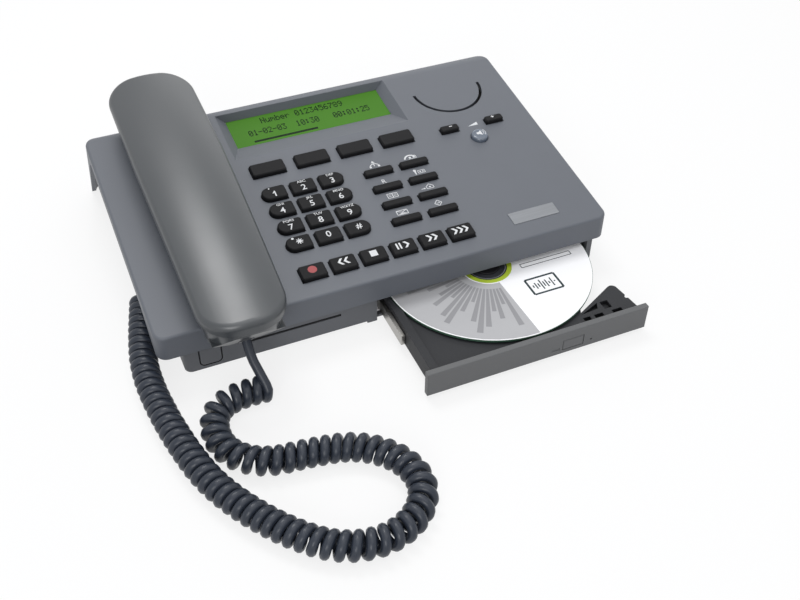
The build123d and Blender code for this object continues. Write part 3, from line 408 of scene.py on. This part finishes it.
def shapes(outlines, lift):
    """Flat shapes on the sloping panel, from outlines of (x, v) points in millimetres."""
    form = bmesh.new()
    for outline in outlines:
        form.faces.new([form.verts.new((x / 1000, v / 1000, lift / 1000)) for x, v in outline])
    bmesh.ops.recalc_face_normals(form, faces=form.faces)
    for face in form.faces:
        if face.normal.z < 0:
            face.normal_flip()
    mesh = bpy.data.meshes.new("shapes")
    form.to_mesh(mesh)
    form.free()
    mesh.transform(panel)
    return mesh


def block(x, v, width, height):
    """Outline of a filled rectangle round its middle."""
    a, b = width / 2, height / 2
    return [(x - a, v - b), (x + a, v - b), (x + a, v + b), (x - a, v + b)]


def round_outline(x, v, radius, start=0, end=360):
    """Points on a circle or on an arc of it, angles in degrees."""
    steps = 24
    angles = [math.radians(start + (end - start) * k / steps)
              for k in range(steps if end - start == 360 else steps + 1)]
    return [(x + radius * math.cos(a), v + radius * math.sin(a)) for a in angles]


def strokes(path, width):
    """Outlines of the straight strokes along a path of (x, v) points."""
    outlines = []
    for (x0, v0), (x1, v1) in zip(path, path[1:]):
        length = math.hypot(x1 - x0, v1 - v0)
        a = -(v1 - v0) / length * width / 2
        b = (x1 - x0) / length * width / 2
        outlines.append([(x0 + a, v0 + b), (x0 - a, v0 - b), (x1 - a, v1 - b), (x1 + a, v1 + b)])
    return outlines


def ink(name, meshes, material, body):
    """Joins printed letters and shapes into one piece that moves with a body."""
    form = bmesh.new()
    for mesh in meshes:
        form.from_mesh(mesh)
        bpy.data.meshes.remove(mesh)
    whole = bpy.data.meshes.new(name)
    form.to_mesh(whole)
    form.free()
    whole.materials.append(material)
    piece = bpy.data.objects.new(name, whole)
    bpy.context.collection.objects.link(piece)
    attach(piece, body)


crystal = plastic("display_crystal", (0.055, 0.165, 0.019), 0.40, grain=1800, depth=0.0, mottle=0.06,
                  edge=0.0001, specular=0.08)
connect(crystal.node_tree.nodes["Principled BSDF"], {
    "Emission Color": (0.10, 0.30, 0.03, 1), "Emission Strength": 0.10})
paint(crystal, "display_panel")

dots, tree, shader = new_material("display_dots")
place = shade_step(tree, "ShaderNodeTexCoord", "Object")
stain = shade_step(tree, "ShaderNodeTexNoise", "Fac", {"Vector": place, "Scale": 260})
connect(shader, {"Base Color": (0.006, 0.016, 0.006, 1), "Roughness": 0.5, "Specular IOR Level": 0.1,
                 "Alpha": spread(tree, stain, 0.88, 1.0)})

# Each sign is seven rows of five dots, one byte a row from the top, with the left dot as the highest bit.
dots_wide = 5
dots_high = 7
dot_rows = {
    "0": "0E11131519110E", "1": "040C040404040E", "2": "0E11010204081F", "3": "1F02040201110E",
    "4": "02060A121F0202", "5": "1F101E0101110E", "6": "0608101E11110E", "7": "1F010204080808",
    "8": "0E11110E11110E", "9": "0E11110F01020C", "N": "11111915131111", "u": "0000111111130D",
    "m": "00001A15151111", "b": "1010161911111E", "e": "00000E111F100E", "r": "00001619101010",
    "-": "0000001F000000", ":": "000C0C000C0C00",
}
dot_text_height = 5.2
glass_lift = -4.97
step_v = dot_text_height / dots_high
figures = []
for text, left, v, cell in [("Number 0123456789", -27.6, 149.6, 3.17),
                            ("01-02-03  10:30   00:01:25", -38.0, 140.1, 3.03)]:
    step_x = cell / (dots_wide + 1)
    dark_dots = []
    for k, letter in enumerate(text):
        if letter == " ":
            continue
        for row, bits in enumerate(bytes.fromhex(dot_rows[letter])):
            for column in range(dots_wide):
                if bits >> (dots_wide - 1 - column) & 1:
                    spot = (left + cell * k + step_x * (column + 1), v + step_v * (dots_high // 2 - row))
                    dark_dots.append(block(*spot, step_x * 1.15, step_v * 1.05))
    figures.append(shapes(dark_dots, glass_lift))
figures.append(shapes([block(-16.4, 132.2, 40.4, 1.7)], glass_lift))
ink("display_figures", figures, dots, "root")


# Keys and their legends
# Near-black silicone caps with rounded shoulders and white screen-printed legends: figures with small letters
# on the number keys, transport signs on the front row, and small signs on the cover behind the narrow keys.
# The round speaker key is clear plastic.
rubber = plastic("key_rubber", (0.0085, 0.0085, 0.0095), 0.55, grain=3200, depth=0.12, mottle=0.06,
                 edge=0.0006, specular=0.12, sheen=0.01)
paint(rubber, *[name for name in nodes
                if "key_" in name or (name.endswith("_key") and name != "speaker_key")])
white_ink = plastic("white_ink", (0.64, 0.65, 0.66), 0.6, mottle=0.04, edge=0.00005)
red_ink = plastic("red_ink", (0.30, 0.040, 0.042), 0.5, mottle=0.04, edge=0.00005)
key_top = 2.605
letter_top = key_top + 0.01
first_column, column_step = -42.25, 17.3
first_row, row_step = 38.1, 13.8
star_reach = 2
letters_of = {"2": "ABC", "3": "DEF", "4": "GHI", "5": "JKL",
              "6": "MNO", "7": "PQRS", "8": "TUV", "9": "WXYZ"}
for k, name in enumerate(["star", "0", "hash", "7", "8", "9", "4", "5", "6", "1", "2", "3"]):
    x = first_column + column_step * (k % 3)
    v = first_row + row_step * (k // 3)
    if name == "star":
        legend = []
        for n in range(4):
            a = math.radians(45 * n)
            across, along = star_reach * math.cos(a), star_reach * math.sin(a)
            spoke = [(x + 0.7 - across, v + 0.4 - along), (x + 0.7 + across, v + 0.4 + along)]
            legend.append(shapes(strokes(spoke, 0.55), key_top + 0.002 * n))
        legend.append(shapes([round_outline(x - 2.5, v + 3.3, 0.75)], key_top))
    elif name == "hash":
        legend = [lettering("#", 4.0, x + 0.6, v + 0.5, letter_top, bold=0.06)]
    elif name == "0":
        legend = [lettering("0", 4.3, x, v + 0.4, letter_top, bold=0.05)]
    elif name == "1":
        stem = block(x + 0.4, v - 1.3, 0.75, 4.3)
        serif = [(x - 1.0, v - 0.6), (x - 0.7, v - 1.1), (x + 0.02, v - 0.4), (x + 0.02, v + 0.5)]
        legend = [shapes([stem, serif, round_outline(x - 2.0, v + 3.3, 0.45)], key_top)]
    else:
        legend = [lettering(name, 4.3, x, v - 1.5, letter_top, bold=0.05),
                  lettering(letters_of[name], 1.7, x, v + 3.2, letter_top, stretch=1.1, bold=0.03)]
    ink(f"legend_{name}", legend, white_ink, f"key_{name}_body")


def chevron(x, v, side):
    """An open arrow head with its middle at x, v; side is 1 to the right and -1 to the left."""
    return [(x + side * across, v + along) for across, along in
            ((-1.7, 2.3), (-0.2, 2.3), (1.7, 0), (-0.2, -2.3), (-1.7, -2.3), (0.2, 0))]


front_v = 16.6
transport = {
    "record": [round_outline(-42.3, front_v + 0.1, 2.5)],
    "back": [chevron(-26.3, front_v, -1), chevron(-22.9, front_v, -1)],
    "stop": [block(-7.3, front_v - 0.1, 4.1, 4.2)],
    "play": [block(6.6, front_v, 0.95, 4.5), block(8.5, front_v, 0.95, 4.5), chevron(12.2, front_v, 1)],
    "forward": [chevron(25.9, front_v, 1), chevron(29.2, front_v, 1)],
    "skip": [chevron(41.5, front_v, 1), chevron(44.8, front_v, 1), chevron(48.1, front_v, 1)],
}
for name, outlines in transport.items():
    colour = red_ink if name == "record" else white_ink
    ink(f"legend_{name}", [shapes(outlines, key_top)], colour, f"key_{name}_body")
minus = [block(77.0, 98.5, 2.0, 0.55)]
plus = [block(105.6, 98.5, 2.0, 0.55), block(105.6, 99.1, 0.55, 0.7), block(105.6, 97.9, 0.55, 0.7)]
ink("legend_volume_down", [shapes(minus, key_top)], white_ink, "volume_down_key_body")
ink("legend_volume_up", [shapes(plus, key_top)], white_ink, "volume_up_key_body")


def box_strokes(left, low, right, high, width):
    """Outlines of the four strokes of an open rectangle."""
    return strokes([(left, low), (right, low), (right, high), (left, high), (left, low)], width)


hook_sign = strokes(round_outline(20.9, 82.4, 2.9, 10, 170), 0.55)
hook_sign += strokes([(20.9, 83.2), (20.9, 87.4)], 0.45)
hook_sign += [[(19.6, 85.9), (20.9, 87.9), (22.2, 85.9), (20.9, 86.5)]]
hook_sign += [block(x, 82.8, 1.3, 1.2) for x in (18.3, 23.5)]
call_sign = strokes(round_outline(43.4, 81.6, 3.6, 30, 165), 1.0)
call_sign += [round_outline(x, 83.2, 0.7) for x in (43.4, 45.9)]
call_sign += strokes([(42.3, 82.1), (47.2, 82.1), (47.2, 84.4), (45.2, 84.4)], 0.35)
voice_sign = [round_outline(41.3, 71.7, 0.9), [(40.8, 71.4), (41.9, 71.4), (41.5, 68.3), (41.0, 68.3)]]
voice_sign += [round_outline(x, 70.0, 0.5) for x in (44.3, 46.0)] + box_strokes(43.0, 68.9, 47.2, 71.2, 0.35)
book_sign = box_strokes(18.1, 55.2, 24.2, 58.6, 0.4) + strokes([(21.2, 55.2), (21.2, 58.6)], 0.5)
for x in (18.9, 21.9):
    for v in (57.6, 56.5):
        book_sign += strokes([(x, v), (x + 1.6, v)], 0.35)
home_sign = strokes([(38.9, 55.9), (40.9, 55.9)], 0.45) + [[(40.6, 55.2), (41.7, 55.9), (40.6, 56.6)]]
house = [(42.3, 55.2), (42.3, 57.0), (44.4, 58.8), (46.6, 57.0), (46.6, 55.2), (42.3, 55.2)]
home_sign += strokes(house, 0.4) + [round_outline(44.4, 56.4, 0.6)]
note_sign = box_strokes(17.8, 40.9, 24.2, 44.1, 0.45)
note_sign += strokes([(17.8, 44.1), (21.0, 42.5), (24.2, 44.1)], 0.4)
note_sign += [[(18.3, 41.3), (23.7, 41.3), (21.0, 42.2)]]
tag_sign = strokes([(41.2, 42.5), (43.4, 44.8), (45.6, 42.5), (43.4, 40.3), (41.2, 42.5)], 0.45)
tag_sign += strokes([(42.3, 42.4), (44.4, 42.4), (43.7, 43.1)], 0.35)
speaker_wedge = [[(88.8, 97.5), (95.4, 97.3), (95.6, 100.0)]]
signs = [hook_sign, call_sign, voice_sign, book_sign, home_sign, note_sign, tag_sign, speaker_wedge]
# Strokes that cross lie a few thousandths of a millimetre apart, so that no two films share a plane.
marks = [shapes([outline], 0.02 + 0.002 * (n % 3)) for group in signs for n, outline in enumerate(group)]
marks.append(lettering("R", 3.2, 20.9, 69.5, 0.03, bold=0.03))
ink("cover_signs", marks, white_ink, "root")

lit = plastic("clear_key", (0.115, 0.14, 0.18), 0.22, grain=900, depth=0.02, mottle=0.05, edge=0.0008,
              specular=0.6)
connect(lit.node_tree.nodes["Principled BSDF"], {
    "Subsurface Weight": 0.35, "Subsurface Radius": (0.002, 0.0024, 0.003), "Coat Weight": 0.3})
paint(lit, "speaker_key")
horn = [[(89.4, 86.2), (90.8, 86.2), (92.6, 84.9), (92.6, 89.3), (90.8, 88.0), (89.4, 88.0)]]
for radius in (2.3, 3.4):
    horn += strokes(round_outline(91.6, 87.1, radius, -42, 42), 0.35)
ink("legend_speaker", [shapes([outline], key_top) for outline in horn], white_ink, "speaker_key_body")


# Badge, loudspeaker and board
# The badge is a bare satin metal plate, brushed along its length. The loudspeaker's paper cone shows black in
# the arc slot, and the board is green laminate.
paint(metal("badge_metal", (0.22, 0.23, 0.245), 0.45, (0.04, 1, 1), metallic=0.45), "badge_plate")
paint(plastic("speaker_paper", (0.008, 0.008, 0.008), 0.85, grain=500, depth=0.3), "loudspeaker")
paint(plastic("board_laminate", (0.02, 0.12, 0.045), 0.4, mottle=0.2), "main_board")


# Handset
# Satin grey shells, crowned along and across, a little glossier than the housing. Ear and mouth capsules sit
# in caps on the underside.
handset_grey = plastic("handset_plastic", (0.036, 0.041, 0.046), 0.36, grain=3000, depth=0.05, edge=0.0005,
                       specular=0.75)
paint(handset_grey, "handset_upper_shell", "handset_lower_shell")
paint(plastic("capsule_cloth", (0.01, 0.01, 0.01), 0.8, grain=1500, depth=0.4),
      "handset_earpiece", "handset_microphone")


# Disc drive
# A slim optical drive half open: grey bezel with eject key, lamp and release hole, dark textured tray with a
# raised rim, and a moulded hub that holds the disc over the pickup sled.
paint(plastic("bezel_plastic", (0.095, 0.097, 0.100), 0.5, grain=2200, depth=0.15),
      "drive_bezel", "eject_button")
# The tray gets painted shade in its grooves.
tray_black = plastic("tray_plastic", (0.021, 0.022, 0.025), 0.55, grain=1800, depth=0.35, mottle=0.20,
                     specular=0.25, crease_shade=0.6)
paint(tray_black, "drive_tray")
paint(plastic("hub_plastic", (0.012, 0.012, 0.014), 0.35, mottle=0.1), "spindle_hub", "pickup_sled")


# Optical disc
# Clear polycarbonate with a silver layer below and a printed label above: white ground, a lime ring round the
# dark hub zone, a pale grey band with sound bars, a framed wave and an empty title box. Outside the print the
# clear edge shows greenish.
disc_x = 0.0574
disc_y = front_y + 0.0061
disc_top = 0.0156
hub_dark = (0.026, 0.028, 0.033)
hub_line = (0.24, 0.25, 0.27)
lime = (0.42, 0.55, 0.035)
label_white = (0.93, 0.93, 0.94)
clear_edge = (0.10, 0.15, 0.12)
underside = (0.05, 0.115, 0.075, 1)
ring_starts = [
    (0.0, hub_dark), (0.0086, hub_line), (0.0089, hub_dark), (0.0103, hub_line), (0.0106, hub_dark),
    (0.0115, lime), (0.0141, label_white), (0.0594, clear_edge),
]
ramp_scale = 10

disc_print, tree, shader = new_material("disc_print")
place = shade_step(tree, "ShaderNodeTexCoord", "Object")
centred = shade_step(tree, "ShaderNodeVectorMath", "Vector", {0: place, 1: (disc_x, disc_y, 0)},
                     operation="SUBTRACT")
plan = shade_step(tree, "ShaderNodeVectorMath", "Vector", {0: centred, 1: (1, 1, 0)}, operation="MULTIPLY")
radius = shade_step(tree, "ShaderNodeVectorMath", "Value", {0: plan}, operation="LENGTH")
on_ramp = shade_step(tree, "ShaderNodeMath", "Value", {0: radius, 1: ramp_scale}, operation="MULTIPLY")
rings = shade_step(tree, "ShaderNodeValToRGB", "Color", {"Fac": on_ramp})
ramp = rings.node.color_ramp
ramp.interpolation = "CONSTANT"
while len(ramp.elements) < len(ring_starts):
    ramp.elements.new(1.0)
for element, (start, colour) in zip(ramp.elements, ring_starts):
    element.position = start * ramp_scale
    element.color = (*colour, 1)
normal = shade_step(tree, "ShaderNodeNewGeometry", "Normal")
upward = shade_step(tree, "ShaderNodeSeparateXYZ", "Z", {"Vector": normal})
on_top = shade_step(tree, "ShaderNodeMath", "Value", {0: upward, 1: 0.5}, operation="GREATER_THAN")
faces = shade_step(tree, "ShaderNodeMix", "Result", {"Factor": on_top, "A": underside, "B": rings},
                   data_type="RGBA")
streaks = shade_step(tree, "ShaderNodeTexNoise", "Fac", {"Vector": place, "Scale": 700})
connect(shader, {"Base Color": faces, "Roughness": spread(tree, streaks, 0.38, 0.50)})
paint(disc_print, "optical_disc")


def ring_part(inner, outer, start, end):
    """Outline of a piece of a ring round the disc's middle: radii in millimetres, angles in degrees."""
    return round_outline(0, 0, outer, start, end) + round_outline(0, 0, inner, start, end)[::-1]


def on_disc(outlines, lift):
    """Flat shapes printed on the disc, from outlines of (x, y) points in millimetres round its middle."""
    mesh = shapes(outlines, lift)
    mesh.transform(Matrix.Translation((disc_x, disc_y, disc_top)) @ panel.inverted())
    return mesh


pale_ink = plastic("pale_grey_ink", (0.44, 0.44, 0.45), 0.5, mottle=0.05, edge=0.00005, specular=0.2)
grey_ink = plastic("grey_ink", (0.29, 0.29, 0.30), 0.5, mottle=0.05, edge=0.00005, specular=0.2)
dark_ink = plastic("dark_ink", (0.03, 0.045, 0.05), 0.5, mottle=0.05, edge=0.00005, specular=0.2)
label_lift = 0.010
bars_lift = 0.020
ink("disc_band", [on_disc([ring_part(15.2, 59.2, 92, 272)], label_lift)], pale_ink, "spindle")
bar_lengths = [12, 20, 15, 28, 33, 24, 17, 11, 22, 30, 35, 26, 14, 19, 27, 23, 16, 31, 20, 10, 17, 25, 14, 29,
               33, 21, 12, 27, 35, 30, 18, 24, 13, 31]
bar_foot = 19.5
bar_step = 5.1
bars = [ring_part(bar_foot, bar_foot + length, 95.0 + bar_step * k, 98.7 + bar_step * k)
        for k, length in enumerate(bar_lengths)]
ink("disc_sound_bars", [on_disc(bars, bars_lift)], grey_ink, "spindle")
wave_box = box_strokes(14.0, -32.0, 32.0, -19.5, 1.3)
waves = [block(16.4 + 1.65 * k, -25.8, 0.8, height) for k, height in enumerate((2, 5, 3, 8, 4, 6, 2, 7, 1))]
ink("disc_wave_box", [on_disc(wave_box, label_lift), on_disc(waves, label_lift)], dark_ink, "spindle")
title_box = box_strokes(18.0, -9.2, 50.0, -6.2, 0.5)
ink("disc_title_box", [on_disc(title_box, label_lift)], dark_ink, "spindle")
